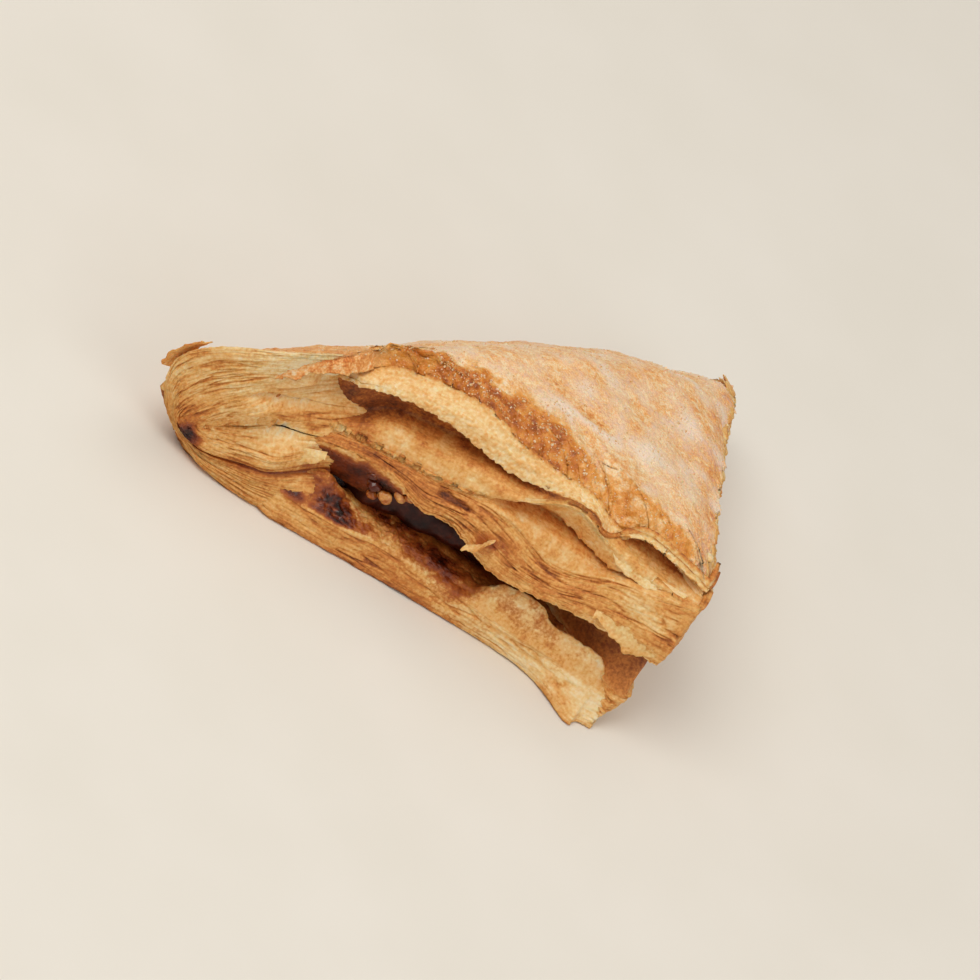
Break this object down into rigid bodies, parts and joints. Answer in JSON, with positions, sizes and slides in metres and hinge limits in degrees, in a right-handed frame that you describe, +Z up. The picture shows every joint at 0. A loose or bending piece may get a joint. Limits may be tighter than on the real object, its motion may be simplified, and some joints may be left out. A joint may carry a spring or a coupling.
{
  "type": "turnover pastry",
  "caption": "Baked triangular puff pastry turnover with an open front side, layered dough, fruit filling inside and a sugared top crust.",
  "frame": {"origin": "middle of the footprint's box, on the table that the pastry lies on", "axes": "+X along the open front side, from the fold's end to the cut corner; +Y from the front side towards the far corner; +Z up"},
  "size_m": [0.128, 0.1146, 0.045],
  "materials": {
    "pastry": "baked puff pastry, golden and sugared, dry and flaky",
    "filling": "dark red-brown cooked fruit filling, wet and glossy"
  },
  "bodies": {
    "root": {"pastry": "pastry", "filling": "filling"}
  },
  "joints": []
}
